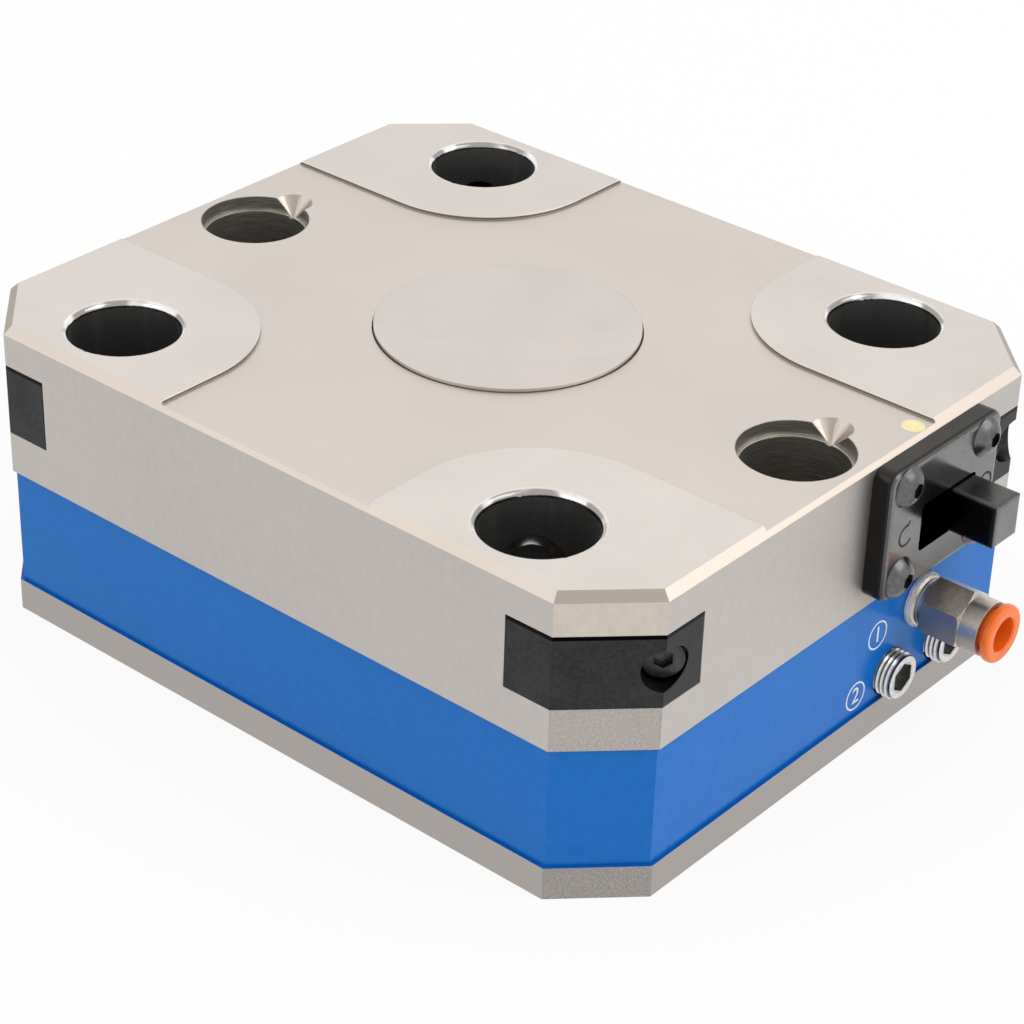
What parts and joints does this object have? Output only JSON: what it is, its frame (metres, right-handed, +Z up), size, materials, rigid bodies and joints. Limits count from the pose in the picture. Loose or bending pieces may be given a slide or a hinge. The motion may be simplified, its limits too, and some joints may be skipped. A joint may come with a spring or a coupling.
{
  "type": "quick-change clamping module",
  "caption": "Pneumatic quick-change clamping module: steel block with stud receivers, wedge-driven locking pins, mounting holes, side switch and push-in air fitting.",
  "frame": {"origin": "centre of the block's underside", "axes": "+Z up out of the stud receivers, +X along the long side towards the end face with the switch and ports"},
  "size_m": [0.169, 0.1252, 0.0588],
  "materials": {
    "block_steel": "fine ground, satin",
    "band_blue": "smooth satin paint",
    "cover_steel": "fine ground, satin",
    "base_steel": "turned",
    "black_oxide": "black oxide, satin",
    "seal_rubber": "matte",
    "piston_steel": "ground",
    "spring_steel": "oiled",
    "pin_steel": "ground and polished nose",
    "corner_black": "black anodised, satin",
    "plate_black": "black anodised, semi gloss",
    "plate_screw": "black oxide, semi gloss",
    "lever_black": "black anodised, satin",
    "valve_metal": "machined",
    "spool_steel": "ground",
    "nickel": "nickel plated, bright",
    "thread_tape": "matte",
    "grip_steel": "spring steel",
    "collar_orange": "glossy",
    "plug_zinc": "bright zinc",
    "plug_brass": "pale, satin"
  },
  "bodies": {
    "block": {"module_body": "block_steel", "blue_side_band": "band_blue", "centre_cover": "cover_steel", "base_cover": "base_steel", "base_cover_screws": "black_oxide", "base_seal": "seal_rubber", "hub_seal": "seal_rubber", "lock_spring": "spring_steel", "corner_block_1": "corner_black", "corner_block_2": "corner_black", "corner_block_3": "corner_black", "corner_block_4": "corner_black", "corner_block_screws": "black_oxide", "switch_plate": "plate_black", "switch_plate_screws": "plate_screw", "valve_housing": "valve_metal", "fitting_body": "nickel", "fitting_thread_seal": "thread_tape", "fitting_tube_seal": "seal_rubber", "fitting_grip_ring": "grip_steel", "port_plug_1": "plug_zinc", "port_plug_2": "plug_zinc", "passage_plug": "plug_brass"},
    "lock_piston": {"clamp_piston": "piston_steel", "piston_seal": "seal_rubber"},
    "pin_1": {"locking_pin_1": "pin_steel", "pin_seal_1": "seal_rubber"},
    "pin_2": {"locking_pin_2": "pin_steel", "pin_seal_2": "seal_rubber"},
    "pin_3": {"locking_pin_3": "pin_steel", "pin_seal_3": "seal_rubber"},
    "pin_4": {"locking_pin_4": "pin_steel", "pin_seal_4": "seal_rubber"},
    "lever": {"switch_lever": "lever_black", "valve_spool": "spool_steel", "spool_seals": "seal_rubber"},
    "collar": {"fitting_collar": "collar_orange"}
  },
  "joints": [
    {"name": "piston_lift", "type": "slide", "parent": "block", "child": "lock_piston", "axis": [0, 0, 1], "range_m": [0, 0.0065], "deforming": ["lock_spring"]},
    {"name": "pin_1_slide", "type": "slide", "parent": "block", "child": "pin_1", "axis": [0.7071, 0.7071, 0], "range_m": [0, 0.0039]},
    {"name": "pin_2_slide", "type": "slide", "parent": "block", "child": "pin_2", "axis": [-0.7071, 0.7071, 0], "range_m": [0, 0.0039]},
    {"name": "pin_3_slide", "type": "slide", "parent": "block", "child": "pin_3", "axis": [-0.7071, -0.7071, 0], "range_m": [0, 0.0039]},
    {"name": "pin_4_slide", "type": "slide", "parent": "block", "child": "pin_4", "axis": [0.7071, -0.7071, 0], "range_m": [0, 0.0039]},
    {"name": "lever_slide", "type": "slide", "parent": "block", "child": "lever", "axis": [0, 1, 0], "range_m": [-0.0082, 0]},
    {"name": "collar_press", "type": "slide", "parent": "block", "child": "collar", "axis": [-1, 0, 0], "range_m": [0, 0.0006], "stiffness_N_per_m": 300}
  ],
  "couplings": [
    {"joint": "pin_1_slide", "follows": "piston_lift", "ratio": 0.6},
    {"joint": "pin_2_slide", "follows": "piston_lift", "ratio": 0.6},
    {"joint": "pin_3_slide", "follows": "piston_lift", "ratio": 0.6},
    {"joint": "pin_4_slide", "follows": "piston_lift", "ratio": 0.6}
  ]
}
